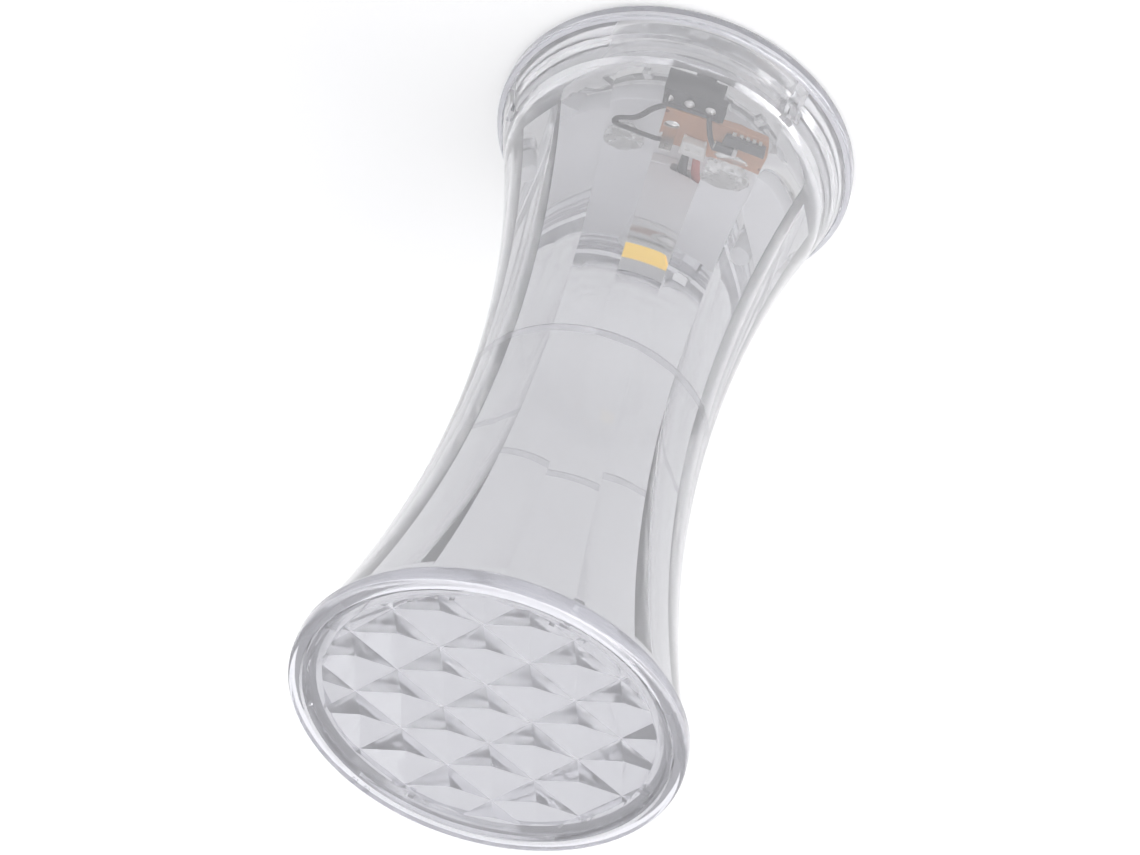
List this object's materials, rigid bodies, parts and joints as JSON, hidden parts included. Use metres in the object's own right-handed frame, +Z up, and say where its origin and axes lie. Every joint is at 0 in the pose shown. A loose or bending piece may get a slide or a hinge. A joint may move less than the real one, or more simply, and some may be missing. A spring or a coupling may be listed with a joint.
{
  "type": "bedside lamp",
  "caption": "Small clear hourglass bedside lamp with a fluted inside, a faceted top plate and a battery light engine in its foot.",
  "frame": {"origin": "middle of the round foot, at the level of the table", "axes": "+Z up along the lamp's axis; -Y is the front, where the driver board and the switch are"},
  "size_m": [0.0474, 0.0474, 0.1],
  "materials": {
    "clear_plastic": "polished clear",
    "white_plastic": "satin",
    "white_board": "satin",
    "yellow_phosphor": "satin",
    "brown_laminate": "satin",
    "black_resin": "satin",
    "red_insulation": "satin",
    "black_insulation": "satin",
    "clear_glue": "clear",
    "solder": "bright",
    "nickel": "bright",
    "screw_steel": "zinc plated"
  },
  "bodies": {
    "lamp": {"lower_shell": "clear_plastic", "upper_shell": "clear_plastic", "diamond_plate": "clear_plastic", "base_plate": "clear_plastic", "cell_housing": "white_plastic", "light_post": "white_plastic", "led_board": "white_board", "led_package": "white_board", "led_phosphor": "yellow_phosphor", "driver_board": "brown_laminate", "control_chip": "black_resin", "current_resistor": "black_resin", "lead_connector": "white_plastic", "lead_wire_red": "red_insulation", "lead_wire_black": "black_insulation", "terminal_solder_1": "solder", "terminal_solder_2": "solder", "terminal_solder_3": "solder", "pad_solder_1": "solder", "pad_solder_2": "solder", "switch_wire_1": "black_insulation", "switch_wire_2": "black_insulation", "glue_drop_1": "clear_glue", "glue_drop_2": "clear_glue", "glue_drop_3": "clear_glue", "tab_solder": "solder", "lead_solder_1": "solder", "lead_solder_2": "solder", "switch_body": "black_resin", "switch_terminal_1": "nickel", "switch_terminal_2": "nickel", "switch_terminal_3": "nickel", "button_cell_1": "nickel", "button_cell_2": "nickel", "button_cell_3": "nickel", "positive_contact": "nickel", "top_link_contact": "nickel", "centre_pin": "nickel", "base_screw_1": "screw_steel", "base_screw_2": "screw_steel"},
    "battery_door": {"battery_door": "clear_plastic", "door_link_contact": "nickel", "door_end_contact": "nickel"},
    "switch_knob": {"switch_knob": "black_resin"}
  },
  "joints": [
    {"name": "battery_door_turn", "type": "hinge", "parent": "lamp", "child": "battery_door", "pos_m": [0, 0, 0], "axis": [0, 0, -1], "range_deg": [0, 32]},
    {"name": "switch_slide", "type": "slide", "parent": "lamp", "child": "switch_knob", "axis": [1, 0, 0], "range_m": [0, 0.002]}
  ]
}
